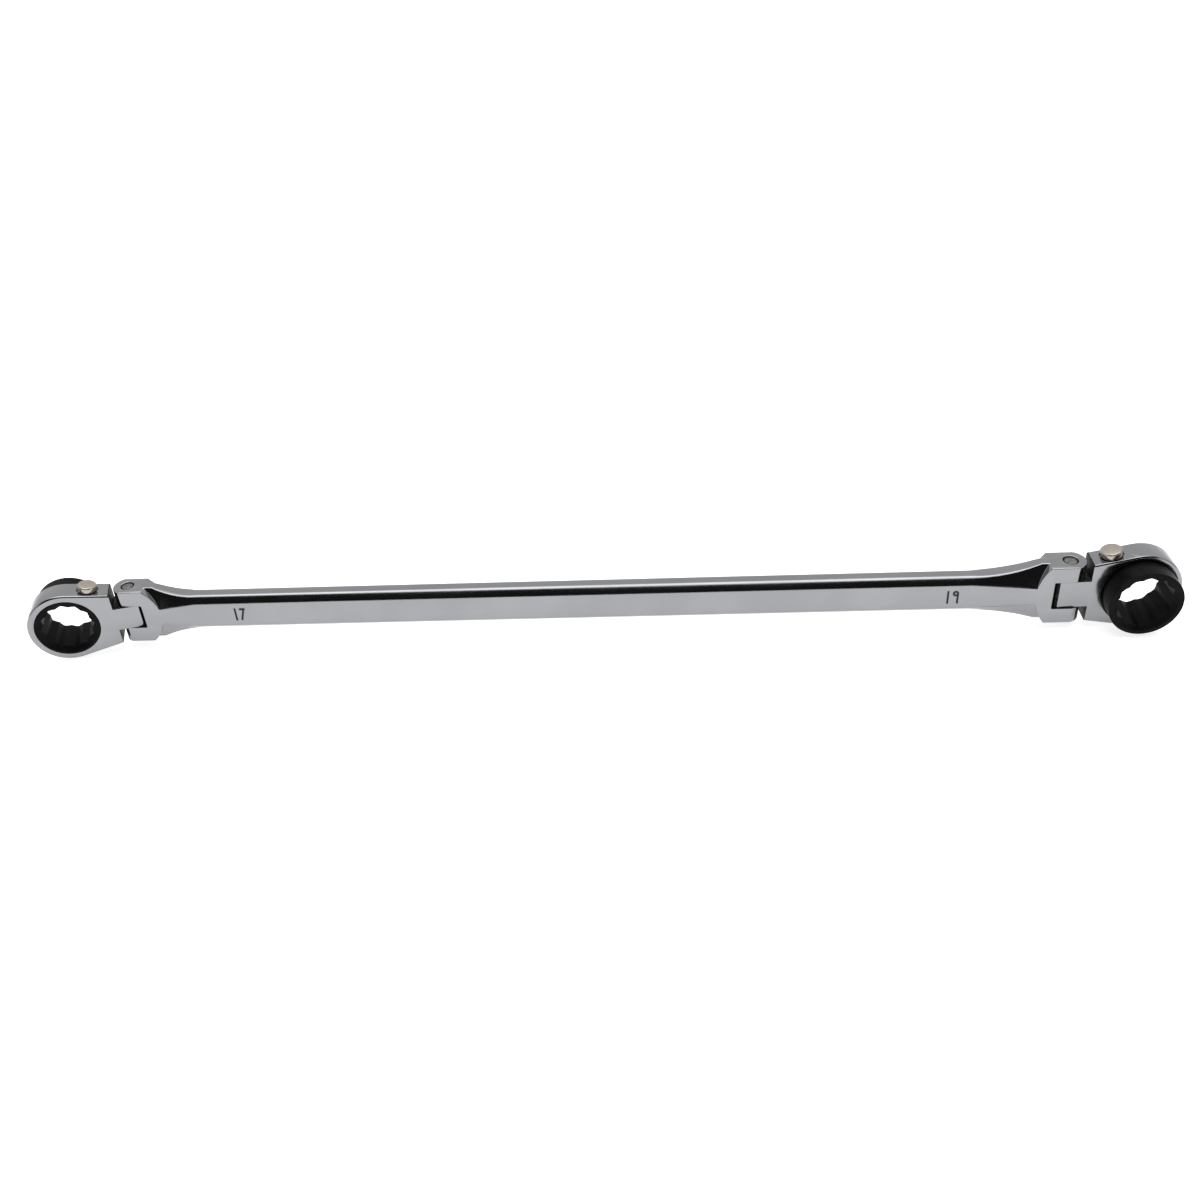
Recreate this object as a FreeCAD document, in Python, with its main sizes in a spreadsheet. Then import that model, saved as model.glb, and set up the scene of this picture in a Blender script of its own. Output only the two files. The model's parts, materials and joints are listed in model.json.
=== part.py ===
import FreeCAD, Part
import math
import os
import Sketcher

# A long double-ended ratchet wrench with a flexing ratchet head at each end.
# The shank lies along X with its back flat on the plane Y = 0 and its front face towards -Y.
# +Z points to the edge that carries the release buttons.  The 17 mm head is at the -X end.
# A head is drawn about its own pivot: local X points away from the shank, local Y along the
# drive ring's axis, and local Z along the pivot pin.

SIZES = ("17", "19")

SHARED_DIMS = {
    "pivot_span": 356.0,        # from one pivot axis to the other
    "shank_height": 15.0,
    "shank_thick": 9.0,
    "bevel": 2.45,
    "running_gap": 0.05,        # radial clearance of parts that turn or slide in each other
    "press_gap": 0.01,          # radial clearance left around pressed pins
    "free_gap": 0.1,            # clearance where parts only have to miss each other
    "slot_gap": 0.2,            # how much taller the yoke's slot is than the tongue
    "digit_height": 5.6,
    "digit_width": 2.3,
    "digit_gap": 1.3,
    "digit_stroke": 0.75,
    "digit_depth": 0.25,
    "tooth_depth": 0.38,
    "band_half": 3.2,           # half the width of the toothed band
    "clip_thick": 0.8,
    "clip_opening": 3.2,
    "clip_bite": 0.4,           # how far a retaining clip reaches into the housing
    "lead_depth": 1.2,          # depth of the cones at both ends of a drive opening
    "edge_chamfer": 0.5,
    "edge_slope": 11.2,         # how far a head's side leans out from the neck, in degrees
    "pawl_half_width": 2.5,
    "pawl_depth": 2.4,
    "pawl_low": 3.7,
    "pawl_tooth_height": 2.3,   # the pawl's teeth end this far above the neck line
    "press_travel": 0.55,
    "cap_height": 2.95,
    "cap_bevel": 0.4,
    "cap_skin": 1.1,            # thickness of the cap above the release pin
    "recess_depth": 1.0,
    "release_pin_radius": 0.65,
    "release_foot_radius": 0.9,
    "release_foot_height": 0.5,
    "release_flat": 0.2,        # radius of the small flat on the release pin's tip
    "spring_seat_depth": 1.0,
    "pawl_spring_seat": 3.6,    # how far the pawl's spring reaches into the neck
    "pawl_socket": 1.4,
    "cap_socket": 1.2,
    "pawl_spring_radius": 0.95,
    "pawl_spring_wire": 0.32,
    "button_spring_radius": 1.05,
    "button_spring_wire": 0.28,
    "plunger_radius": 1.8,
    "plunger_length": 4.2,
    "plunger_nose": 1.0,
    "plunger_flat": 0.8,        # radius of the flat on the friction plunger's tip
    "plunger_bore_length": 17.5,
    "plunger_spring_radius": 1.35,
    "plunger_spring_wire": 0.5,
}

SIZE_DIMS = {
    "17": {
        "flex_angle": 15.0,
        "yoke_height": 23.2,
        "yoke_thick": 9.7,
        "boss_radius": 15.1,
        "boss_offset": 3.0,      # from the pivot out to the centre of the boss's round edge
        "boss_flat": 3.0,        # half the height of the front flat where it meets the boss
        "boss_ridge": 1.6,       # half the width of the top edge there
        "corner_reach": 10.0,    # from the pivot back to the corner where the flare begins
        "flare_length": 16.0,
        "ear_radius": 5.4,
        "slot_radius": 7.0,
        "pin_radius": 2.5,
        "pin_recess": 0.35,
        "tongue_height": 9.7,
        "tongue_radius": 5.2,
        "shoulder_reach": 6.9,
        "shoulder_height": 22.4,
        "ring_reach": 25.0,      # from the pivot axis to the drive ring's axis
        "housing_radius": 14.5,
        "housing_thick": 9.5,
        "barrel_radius": 12.7,
        "band_radius": 13.1,
        "collar_radius": 12.0,   # the ring's end inside the housing's lip
        "ring_length": 16.3,
        "drive_flats": 17.1,
        "lead_wide": 11.3,
        "lead_narrow": 9.3,
        "button_reach": 14.6,
        "button_face": 12.72,    # height of the head's edge under the button's centre
        "cap_radius": 3.5,
        "recess_radius": 4.0,
        "release_tip": 7.2,
        "digits_reach": 42.3,
    },
    "19": {
        "flex_angle": 2.0,
        "yoke_height": 24.6,
        "yoke_thick": 11.0,
        "boss_radius": 20.2,
        "boss_offset": 8.0,
        "boss_flat": 3.3,
        "boss_ridge": 1.7,
        "corner_reach": 10.8,
        "flare_length": 25.0,
        "ear_radius": 5.8,
        "slot_radius": 8.0,
        "pin_radius": 2.8,
        "pin_recess": 0.35,
        "tongue_height": 11.2,
        "tongue_radius": 6.2,
        "shoulder_reach": 7.2,
        "shoulder_height": 24.8,
        "ring_reach": 25.5,
        "housing_radius": 15.6,
        "housing_thick": 9.7,
        "barrel_radius": 13.45,
        "band_radius": 13.95,
        "collar_radius": 12.9,
        "ring_length": 17.7,
        "drive_flats": 19.1,
        "lead_wide": 11.9,
        "lead_narrow": 10.3,
        "button_reach": 14.5,
        "button_face": 13.8,
        "cap_radius": 3.95,
        "recess_radius": 4.35,
        "release_tip": 9.2,
        "digits_reach": 43.2,
    },
}

TOOTH_COUNT = 72
SPRING_TURNS = 6
SPRING_END_GAP = 0.3            # between a coil's end and what it bears on, in mm
SECTION_OVER = 0.5              # how far the lofted bar reaches past its outline, in mm
SPRING_CLEARANCE = 1.5          # round a coil in its hole, in free gaps
PAWL_HEADROOM = 2.5             # over the pawl in its pocket, in free gaps
POCKET_START = 0.7              # where the pocket begins, as a share of the band's radius
PAWL_START = 0.75               # where the pawl's uncut block begins, in the same way
DIGIT_LEAN = 16                 # slant of the engraved 7, in degrees
REACH = 60                      # longer than any cut has to be, in mm
Y_AXIS = FreeCAD.Rotation(FreeCAD.Vector(1, 0, 0), -90)
X_AXIS = FreeCAD.Rotation(FreeCAD.Vector(0, 1, 0), 90)
Z_AXIS = FreeCAD.Rotation()
AXES = {"x": X_AXIS, "y": Y_AXIS, "z": Z_AXIS}
ACROSS = FreeCAD.Rotation(FreeCAD.Vector(1, 1, 1), 120)      # sketch X and Y to Y and Z

doc = FreeCAD.newDocument("ratchet_wrench")


def make_sheet():
    """Put every driving dimension in a spreadsheet, one alias for each."""
    sheet = doc.addObject("Spreadsheet::Sheet", "dims")
    rows = dict(SHARED_DIMS)
    for size in SIZES:
        for key, value in SIZE_DIMS[size].items():
            rows[f"{key}_{size}"] = value
    for row, (alias, value) in enumerate(rows.items(), start=1):
        cell = f"A{row}"
        sheet.set(cell, str(value))
        sheet.setAlias(cell, alias)
    doc.recompute()
    return sheet


SHEET = make_sheet()


def d(key, size=None):
    """The expression that reads one dimension."""
    return f"dims.{key}" if size is None else f"dims.{key}_{size}"


def value(expression):
    """The number an expression has now."""
    return float(SHEET.evalExpression(str(expression)))


def bind(obj, **expressions):
    for name, expression in expressions.items():
        obj.setExpression(name.replace("__", "."), str(expression))
    return obj


def at(obj, x="0", y="0", z="0"):
    bind(obj, Placement__Base__x=x, Placement__Base__y=y, Placement__Base__z=z)
    return obj


def cylinder(name, axis, radius, low, length, x="0", y="0", z="0"):
    """A cylinder along one axis that starts at `low` on that axis."""
    obj = doc.addObject("Part::Cylinder", name)
    obj.Placement = FreeCAD.Placement(FreeCAD.Vector(), AXES[axis])
    places = {"x": x, "y": y, "z": z, axis: low}
    bind(obj, Radius=radius, Height=length)
    return at(obj, **places)


def cone(name, axis, radius_low, radius_high, low, length, x="0", y="0", z="0"):
    obj = doc.addObject("Part::Cone", name)
    obj.Placement = FreeCAD.Placement(FreeCAD.Vector(), AXES[axis])
    places = {"x": x, "y": y, "z": z, axis: low}
    bind(obj, Radius1=radius_low, Radius2=radius_high, Height=length)
    return at(obj, **places)


def box(name, x, y, z, length, width, height, turn=0):
    """A box from its low corner, turned about Y by `turn` degrees at that corner."""
    obj = doc.addObject("Part::Box", name)
    turned = FreeCAD.Rotation(FreeCAD.Vector(0, 1, 0), turn)
    obj.Placement = FreeCAD.Placement(FreeCAD.Vector(), turned)
    bind(obj, Length=length, Width=width, Height=height)
    return at(obj, x, y, z)


def slab(name, x, half_width, z, length, height, turn=0):
    """A box that is centred on the plane Y = 0."""
    return box(name, x, f"-({half_width})", z, length, f"2*({half_width})", height, turn)


def fuse(name, *shapes):
    obj = doc.addObject("Part::MultiFuse", name)
    obj.Shapes = list(shapes)
    return obj


def cut(name, base, *tools):
    obj = doc.addObject("Part::Cut", name)
    obj.Base = base
    obj.Tool = tools[0] if len(tools) == 1 else fuse(name + "_tools", *tools)
    return obj


def common(name, first, second):
    obj = doc.addObject("Part::MultiCommon", name)
    obj.Shapes = [first, second]
    return obj


def side_sketch(body, name):
    """A sketch on the body's own XZ plane, seen from the front."""
    sketch = body.newObject("Sketcher::SketchObject", name)
    plane = next(f for f in body.Origin.OriginFeatures if f.Role == "XZ_Plane")
    sketch.AttachmentSupport = [(plane, "")]
    sketch.MapMode = "FlatFace"
    return sketch


def pin_point(sketch, geometry, end, x, z):
    """Hold one end of an edge at the place that two expressions give."""
    for kind, expression in (("DistanceX", x), ("DistanceY", z)):
        index = sketch.addConstraint(
            Sketcher.Constraint(kind, -1, 1, geometry, end, value(expression))
        )
        sketch.setExpression(f"Constraints[{index}]", expression)


def hold_radius(sketch, geometry, expression):
    index = sketch.addConstraint(Sketcher.Constraint("Radius", geometry, value(expression)))
    sketch.setExpression(f"Constraints[{index}]", expression)


def pad_both_ways(body, sketch, name, thickness):
    pad = body.newObject("PartDesign::Pad", name)
    pad.Profile = sketch
    pad.SideType = "Symmetric"
    bind(pad, Length=thickness)
    body.Tip = pad
    doc.recompute()
    return pad


def face_edges(pad, half_thickness, skip):
    """Names of the edges on the two flat faces, without those that `skip` names."""
    names = []
    for number, edge in enumerate(pad.Shape.Edges, start=1):
        ends = [vertex.Point for vertex in edge.Vertexes]
        on_face = all(abs(abs(point.y) - half_thickness) < 1e-6 for point in ends)
        if on_face and not skip(ends):
            names.append(f"Edge{number}")
    return names


def chamfer_edges(body, pad, names, name, size):
    feature = body.newObject("PartDesign::Chamfer", name)
    feature.Base = (pad, names)
    bind(feature, Size=size)
    body.Tip = feature
    doc.recompute()
    return feature


def flare_radius(size):
    """The concave flare is tangent to the shank, so its length and rise give its radius."""
    rise = f"({d('yoke_height', size)}-{d('shank_height')})/2"
    return f"({d('flare_length', size)}^2+({rise})^2)/(2*({rise}))"


def shank_outline(sketch):
    """Side view of the forging: two tall yoke ends and a slim bar with concave flares."""
    bar = f"{d('shank_height')}/2"
    stops = []
    for size, side in (("17", "-"), ("19", "")):
        inward = "+" if side == "-" else "-"
        pivot = f"{side}{d('pivot_span')}/2"
        tall = f"{d('yoke_height', size)}/2"
        end = f"{pivot}{side or '+'}{d('ear_radius', size)}"
        corner = f"{pivot}{inward}{d('corner_reach', size)}"
        foot = f"{corner}{inward}{d('flare_length', size)}"
        stops.append(((end, tall), (corner, tall), (foot, bar)))
    left, right = stops
    top = list(left) + list(reversed(right))
    bottom = [(x, f"-({z})") for x, z in reversed(top)]
    points = top + bottom
    arcs = {1: "17", 3: "19", 7: "19", 9: "17"}      # edge number to the end it belongs to
    count = len(points)
    spots = [FreeCAD.Vector(value(x), value(z), 0) for x, z in points]
    for index in range(count):
        start, finish = spots[index], spots[(index + 1) % count]
        if index in arcs:
            radius = value(flare_radius(arcs[index]))
            low = start if abs(start.y) < abs(finish.y) else finish
            centre = FreeCAD.Vector(low.x, low.y + math.copysign(radius, low.y), 0)
            middle = centre + ((start + finish) * 0.5 - centre).normalize() * radius
            sketch.addGeometry(Part.Arc(start, middle, finish))
        else:
            sketch.addGeometry(Part.LineSegment(start, finish))
    return points, arcs


def constrain_outline(sketch, points, arcs):
    """Join the edges end to end and bind every corner and flare to the sheet."""
    count = len(points)
    for index in range(count):
        following = (index + 1) % count
        # an arc keeps its own counter-clockwise sense, so its two ends may be swapped
        end = nearest_end(sketch, index, points[following])
        start = nearest_end(sketch, following, points[following])
        sketch.addConstraint(Sketcher.Constraint("Coincident", index, end, following, start))
        pin_point(sketch, following, start, *points[following])
    for index, size in arcs.items():
        hold_radius(sketch, index, flare_radius(size))


def nearest_end(sketch, geometry, point):
    spot = FreeCAD.Vector(value(point[0]), value(point[1]), 0)
    gaps = {end: (sketch.getPoint(geometry, end) - spot).Length for end in (1, 2)}
    return min(gaps, key=gaps.get)


def side_profile():
    """The forging's outline, thicker than the forging itself."""
    body = doc.addObject("PartDesign::Body", "side_profile")
    sketch = side_sketch(body, "shank_outline")
    points, arcs = shank_outline(sketch)
    constrain_outline(sketch, points, arcs)
    doc.recompute()
    pad_both_ways(body, sketch, "shank_pad", f"{d('yoke_thick', '19')}+2")
    return body


def pivot_x(size):
    return f"{'-' if size == '17' else ''}{d('pivot_span')}/2"


def back_from_pivot(size, distance):
    """X of a spot that lies `distance` from the pivot towards the middle of the shank."""
    return f"{pivot_x(size)}{'+' if size == '17' else '-'}({distance})"


def eight_sided(name, x, flat, half_thick, ridge_high, ridge):
    """A cross-section: flats front and back, narrow ridges above and below, bevels between."""
    sketch = doc.addObject("Sketcher::SketchObject", name)
    sketch.Placement = FreeCAD.Placement(FreeCAD.Vector(), ACROSS)
    bind(sketch, Placement__Base__x=x)
    quarter = [(half_thick, flat), (ridge, ridge_high)]
    corners = quarter + [(f"-({y})", z) for y, z in reversed(quarter)]
    corners += [(f"-({y})", f"-({z})") for y, z in corners]
    spots = [FreeCAD.Vector(value(y), value(z), 0) for y, z in corners]
    count = len(spots)
    for index in range(count):
        following = (index + 1) % count
        sketch.addGeometry(Part.LineSegment(spots[index], spots[following]))
    for index in range(count):
        following = (index + 1) % count
        sketch.addConstraint(Sketcher.Constraint("Coincident", index, 2, following, 1))
        pin_point(sketch, index, 1, *corners[index])
    return sketch


def bevelled_bar():
    """The bar's cross-section, lofted out to a taller one with wider bevels at each yoke."""
    half_thick, bevel = f"{d('shank_thick')}/2", d("bevel")
    over = f"{bevel}+{SECTION_OVER}"
    flat = f"{d('shank_height')}/2-{bevel}"
    bar = (flat, half_thick, f"{flat}+{over}", f"{half_thick}-({over})")
    ends = {}
    for size in SIZES:
        yoke = (d("boss_flat", size), f"{d('yoke_thick', size)}/2",
                f"{d('yoke_height', size)}/2+{SECTION_OVER}", d("boss_ridge", size))
        rim = f"{d('boss_radius', size)}-{d('boss_offset', size)}"
        foot = f"{d('corner_reach', size)}+{d('flare_length', size)}"
        ends[size] = [
            eight_sided(f"section_yoke_{size}", pivot_x(size), *yoke),
            eight_sided(f"section_rim_{size}", back_from_pivot(size, rim), *yoke),
            eight_sided(f"section_foot_{size}", back_from_pivot(size, foot), *bar),
        ]
    loft = doc.addObject("Part::Loft", "bevelled_bar")
    loft.Sections = ends["17"] + ends["19"][::-1]
    loft.Solid = True
    loft.Ruled = True
    return loft


def yoke_boss(size):
    """The flat boss around the pivot; its round edge stands proud of the bevels."""
    half = f"{d('yoke_thick', size)}/2"
    outward = "-" if size == "17" else "+"
    return cylinder(f"boss_{size}", "y", d("boss_radius", size), f"-{half}",
                    d("yoke_thick", size),
                    x=f"{pivot_x(size)}{outward}{d('boss_offset', size)}")


def rounded_envelope():
    """Everything between the pivots, and a round nose about each pivot pin."""
    bar = slab("envelope_bar", pivot_x("17"), REACH, -REACH, d("pivot_span"), 2 * REACH)
    noses = [
        cylinder(f"ear_nose_{size}", "z", d("ear_radius", size), -REACH, 2 * REACH,
                 x=pivot_x(size))
        for size in SIZES
    ]
    return fuse("envelope", bar, *noses)


def fork_cuts(size):
    """The slot for the head's tongue, the pivot hole and the plunger's blind bore."""
    slot_height = f"({d('tongue_height', size)}+{d('slot_gap')})"
    slot = cylinder(f"fork_slot_{size}", "z", d("slot_radius", size), f"-{slot_height}/2",
                    slot_height, x=pivot_x(size))
    hole = cylinder(f"fork_hole_{size}", "z", f"{d('pin_radius', size)}+{d('press_gap')}",
                    -REACH, 2 * REACH, x=pivot_x(size))
    length = d("plunger_bore_length")
    low = pivot_x(size) if size == "17" else f"{pivot_x(size)}-{length}"
    bore = cylinder(f"plunger_bore_{size}", "x",
                    f"{d('plunger_radius')}+{d('running_gap')}", low, length)
    return [slot, hole, bore]


def digit_one(name, x):
    """A plain upright stroke in the right half of the digit's cell."""
    return [stroke(name + "_stem", f"{x}+{d('digit_width')}-{d('digit_stroke')}",
                   f"-{d('digit_height')}/2", d("digit_stroke"), d("digit_height"))]


def digit_seven(name, x):
    """A top bar and one slanting stroke."""
    top = f"{d('digit_height')}/2"
    bar = stroke(name + "_bar", x, f"{top}-{d('digit_stroke')}", d("digit_width"),
                 d("digit_stroke"))
    drift = f"{d('digit_height')}*tan({DIGIT_LEAN})"
    slant = stroke(name + "_slant", f"{x}+{d('digit_width')}-{d('digit_stroke')}-{drift}",
                   f"-{top}+{d('digit_stroke')}/3", d("digit_stroke"),
                   f"{d('digit_height')}-{d('digit_stroke')}/3", DIGIT_LEAN)
    return [bar, slant]


def digit_nine(name, x):
    """A ring at the top with a stroke down its right side."""
    radius = f"{d('digit_width')}/2"
    high = f"{d('digit_height')}/2-{radius}"
    centre = f"{x}+{radius}"
    outer = cylinder(name + "_outer", "y", radius, digit_plane(), digit_reach(), x=centre,
                     z=high)
    inner = cylinder(name + "_inner", "y", f"{radius}-{d('digit_stroke')}", digit_plane(),
                     digit_reach(), x=centre, z=high)
    loop = cut(name + "_loop", outer, inner)
    stem = stroke(name + "_stem", f"{x}+{d('digit_width')}-{d('digit_stroke')}",
                  f"-{d('digit_height')}/2", d("digit_stroke"), f"{d('digit_height')}/2+{high}")
    return [loop, stem]


def digit_plane():
    """Y of the outside of the engraving cutters, in front of the front flat."""
    return f"-{d('shank_thick')}/2-1"


def digit_reach():
    return f"1+{d('digit_depth')}"


def stroke(name, x, z, length, height, turn=0):
    return box(name, x, digit_plane(), z, length, digit_reach(), height, turn)


def size_number(size):
    """The engraved opening size, read from the front."""
    centre = back_from_pivot(size, d("digits_reach", size))
    first = f"{centre}-{d('digit_gap')}/2-{d('digit_width')}"
    second = f"{centre}+{d('digit_gap')}/2"
    last = digit_seven if size == "17" else digit_nine
    return digit_one(f"one_{size}", first) + last(f"last_{size}", second)


def make_shank():
    bulk = fuse("shank_bulk", bevelled_bar(), *[yoke_boss(size) for size in SIZES])
    outlined = common("shank_outlined", bulk, side_profile())
    forged = common("shank_forged", outlined, rounded_envelope())
    tools = []
    for size in SIZES:
        tools += fork_cuts(size) + size_number(size)
    return cut("shank", forged, *tools)


def sheet_wire(points, y):
    return Part.makePolygon([FreeCAD.Vector(x, y, z) for x, z in points + points[:1]])


def toothed_prism(name, size, half, grow="0"):
    """A gear-shaped prism about the ring's axis; one groove faces the pawl."""
    obj = doc.addObject("Part::Feature", name)
    centre = value(d("ring_reach", size))
    tip = value(f"{d('band_radius', size)}+{grow}")
    root = tip - value(d("tooth_depth"))
    points = []
    for step in range(2 * TOOTH_COUNT):
        angle = math.pi * (1 + step / TOOTH_COUNT)
        radius = tip if step % 2 else root
        points.append((centre + radius * math.cos(angle), radius * math.sin(angle)))
    face = Part.Face(sheet_wire(points, -half))
    obj.Shape = face.extrude(FreeCAD.Vector(0, 2 * half, 0))
    return obj


def ring_cylinder(name, size, radius, low, length):
    """A cylinder about the drive ring's axis."""
    return cylinder(name, "y", radius, low, length, x=d("ring_reach", size))


def ring_ends(size):
    """The drive ring is level with the housing on one side and stands out on the other."""
    high = f"{d('housing_thick', size)}/2"
    return f"{high}-{d('ring_length', size)}", high


def drive_opening(size):
    """Twelve-point opening: two hexagons a twelfth of a turn apart, with lead-in cones."""
    low, high = ring_ends(size)
    corner = f"{d('drive_flats', size)}/sqrt(3)"
    hexagons = []
    for turn in (0, 30):
        prism = doc.addObject("Part::Prism", f"drive_hexagon_{size}_{turn}")
        spin = FreeCAD.Rotation(FreeCAD.Vector(0, 1, 0), turn)
        prism.Placement = FreeCAD.Placement(FreeCAD.Vector(), spin.multiply(Y_AXIS))
        prism.Polygon = 6
        bind(prism, Circumradius=corner, Height=f"{d('ring_length', size)}+2")
        at(prism, d("ring_reach", size), f"{low}-1")
        hexagons.append(prism)
    lead, wide, narrow = d("lead_depth"), d("lead_wide", size), d("lead_narrow", size)
    near = cone(f"lead_in_low_{size}", "y", wide, narrow, low, lead, x=d("ring_reach", size))
    far = cone(f"lead_in_high_{size}", "y", narrow, wide, f"{high}-{lead}", lead,
               x=d("ring_reach", size))
    return hexagons + [near, far]


def make_drive_ring(size):
    low, high = ring_ends(size)
    barrel = ring_cylinder(f"ring_barrel_{size}", size, d("barrel_radius", size), low,
                           f"-({low})")
    collar = ring_cylinder(f"ring_collar_{size}", size, d("collar_radius", size), "0", high)
    band = toothed_prism(f"ring_band_{size}", size, value(d("band_half")))
    blank = fuse(f"ring_blank_{size}", barrel, collar, band)
    return cut(f"drive_ring_{size}", blank, *drive_opening(size))


def clip_low():
    """Low Y of the retaining clip, just outside the toothed band."""
    return f"-({d('band_half')}+{d('running_gap')}+{d('clip_thick')})"


def make_clip(size):
    """An open flat ring in a groove of the housing that keeps the drive ring in place."""
    outer = ring_cylinder(f"clip_outer_{size}", size,
                          f"{d('band_radius', size)}+{d('clip_bite')}", clip_low(),
                          d("clip_thick"))
    inner = ring_cylinder(f"clip_inner_{size}", size,
                          f"{d('barrel_radius', size)}+{d('running_gap')}", -REACH, 2 * REACH)
    gap = slab(f"clip_gap_{size}", f"{d('ring_reach', size)}-{d('clip_opening')}/2", REACH,
               -REACH, d("clip_opening"), REACH)
    return cut(f"retaining_clip_{size}", outer, inner, gap)


def housing_outline(sketch, size):
    """Straight shoulder, two straight sides and a round end about the drive ring."""
    reach, half = d("shoulder_reach", size), f"{d('shoulder_height', size)}/2"
    centre = FreeCAD.Vector(value(d("ring_reach", size)), 0, 0)
    radius = value(d("housing_radius", size))
    corner = FreeCAD.Vector(value(reach), value(half), 0)
    span = corner - centre
    swing = math.acos(radius / span.Length)
    angle = math.atan2(span.y, span.x) - swing
    touch = centre + FreeCAD.Vector(math.cos(angle), math.sin(angle), 0) * radius
    mirror = FreeCAD.Vector(1, -1, 0)
    low_corner, low_touch = (
        FreeCAD.Vector(p.x * mirror.x, p.y * mirror.y, 0) for p in (corner, touch)
    )
    circle = Part.Circle(centre, FreeCAD.Vector(0, 0, 1), radius)
    sketch.addGeometry(Part.LineSegment(corner, low_corner))
    sketch.addGeometry(Part.LineSegment(low_corner, low_touch))
    sketch.addGeometry(Part.ArcOfCircle(circle, -angle, angle))
    sketch.addGeometry(Part.LineSegment(touch, corner))
    shoulder, lower, nose, upper = range(4)
    sketch.addConstraint(Sketcher.Constraint("Coincident", shoulder, 2, lower, 1))
    sketch.addConstraint(Sketcher.Constraint("Coincident", upper, 2, shoulder, 1))
    sketch.addConstraint(Sketcher.Constraint("Tangent", lower, 2, nose, 1))
    sketch.addConstraint(Sketcher.Constraint("Tangent", nose, 2, upper, 1))
    pin_point(sketch, shoulder, 1, reach, half)
    pin_point(sketch, shoulder, 2, reach, f"-{half}")
    pin_point(sketch, nose, 3, d("ring_reach", size), "0")
    hold_radius(sketch, nose, d("housing_radius", size))


def housing_plate(size):
    body = doc.addObject("PartDesign::Body", f"housing_plate_{size}")
    sketch = side_sketch(body, f"housing_outline_{size}")
    housing_outline(sketch, size)
    doc.recompute()
    pad = pad_both_ways(body, sketch, f"housing_pad_{size}", d("housing_thick", size))
    reach = value(d("shoulder_reach", size))

    def is_shoulder(ends):
        return len(ends) > 1 and all(abs(point.x - reach) < 1e-6 for point in ends)

    names = face_edges(pad, value(d("housing_thick", size)) / 2, is_shoulder)
    chamfer_edges(body, pad, names, f"housing_chamfer_{size}", d("edge_chamfer"))
    return body


def tongue(size):
    """The tab between the yoke's ears, with its end rounded about the pivot pin."""
    half = f"{d('housing_thick', size)}/2"
    low, height = f"-{d('tongue_height', size)}/2", d("tongue_height", size)
    neck = slab(f"tongue_neck_{size}", "0", half, low,
                f"{d('shoulder_reach', size)}+1", height)
    nose = cylinder(f"tongue_nose_{size}", "z", d("tongue_radius", size), low, height)
    level = slab(f"tongue_level_{size}", f"-{d('tongue_radius', size)}", half, low,
                 f"{d('tongue_radius', size)}+2", height)
    return [neck, common(f"tongue_end_{size}", nose, level)]


def pawl_face(size):
    """X of the drive ring's toothed edge on the neck line."""
    return f"({d('ring_reach', size)}-{d('band_radius', size)})"


def pawl_rear(size):
    return f"({pawl_face(size)}-{d('pawl_depth')})"


def pocket_rear(size):
    """X of the wall that the pawl nearly touches when it is drawn back."""
    return f"({pawl_rear(size)}-{d('press_travel')}-{d('free_gap')})"


def pocket_roof(size):
    return f"({release_foot_low(size)}+{d('release_foot_height')}+{d('running_gap')})"


def release_foot_low(size):
    """The release pin's tip is a 45 degree cone under its foot."""
    return f"({d('release_tip', size)}+{d('release_foot_radius')}-{d('release_flat')})"


def release_pin_x(size):
    """The release pin passes as close to the toothed band as its foot allows."""
    lowest = f"({release_foot_low(size)}-{d('press_travel')}-{d('free_gap')})"
    edge = f"{d('ring_reach', size)}-sqrt({d('band_radius', size)}^2-{lowest}^2)"
    return f"({edge}-{d('release_foot_radius')}-2*{d('free_gap')})"


def height_at_pin(size, above_edge):
    """Height, at the release pin, of a plane that lies `above_edge` off the slanting edge."""
    slope = d("edge_slope")
    back = f"({d('button_reach', size)}-{release_pin_x(size)})"
    return f"({d('button_face', size)}-{back}*tan({slope})+({above_edge})/cos({slope}))"


def recess_floor(size):
    return height_at_pin(size, f"-{d('recess_depth')}")


def cap_low():
    """The cap's underside at rest, measured like `above_edge`."""
    return f"({d('press_travel')}+{d('free_gap')}-{d('recess_depth')})"


def upright_on_edge(obj, size, low):
    """Stand a cylinder or cone on the head's slanting edge, under the button's centre."""
    slope = d("edge_slope")
    lean = FreeCAD.Rotation(FreeCAD.Vector(0, -1, 0), 1)
    obj.Placement = FreeCAD.Placement(FreeCAD.Vector(), lean)
    bind(obj, Placement__Rotation__Angle=slope)
    return at(obj, x=f"{d('button_reach', size)}-({low})*sin({slope})",
              z=f"{d('button_face', size)}+({low})*cos({slope})")


def ring_seat(size):
    """The stepped bore: wide for the toothed band, with a lip round the ring's collar."""
    wide = ring_cylinder(f"ring_bore_{size}", size,
                         f"{d('band_radius', size)}+{d('running_gap')}", -REACH,
                         f"{REACH}+{d('band_half')}+{d('running_gap')}")
    lip = ring_cylinder(f"lip_bore_{size}", size,
                        f"{d('collar_radius', size)}+{d('running_gap')}", -REACH, 2 * REACH)
    groove = ring_cylinder(f"clip_groove_{size}", size,
                           f"{d('band_radius', size)}+{d('clip_bite')}+{d('running_gap')}",
                           f"{clip_low()}-{d('running_gap')}",
                           f"{d('clip_thick')}+2*{d('running_gap')}")
    return [wide, lip, groove]


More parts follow.
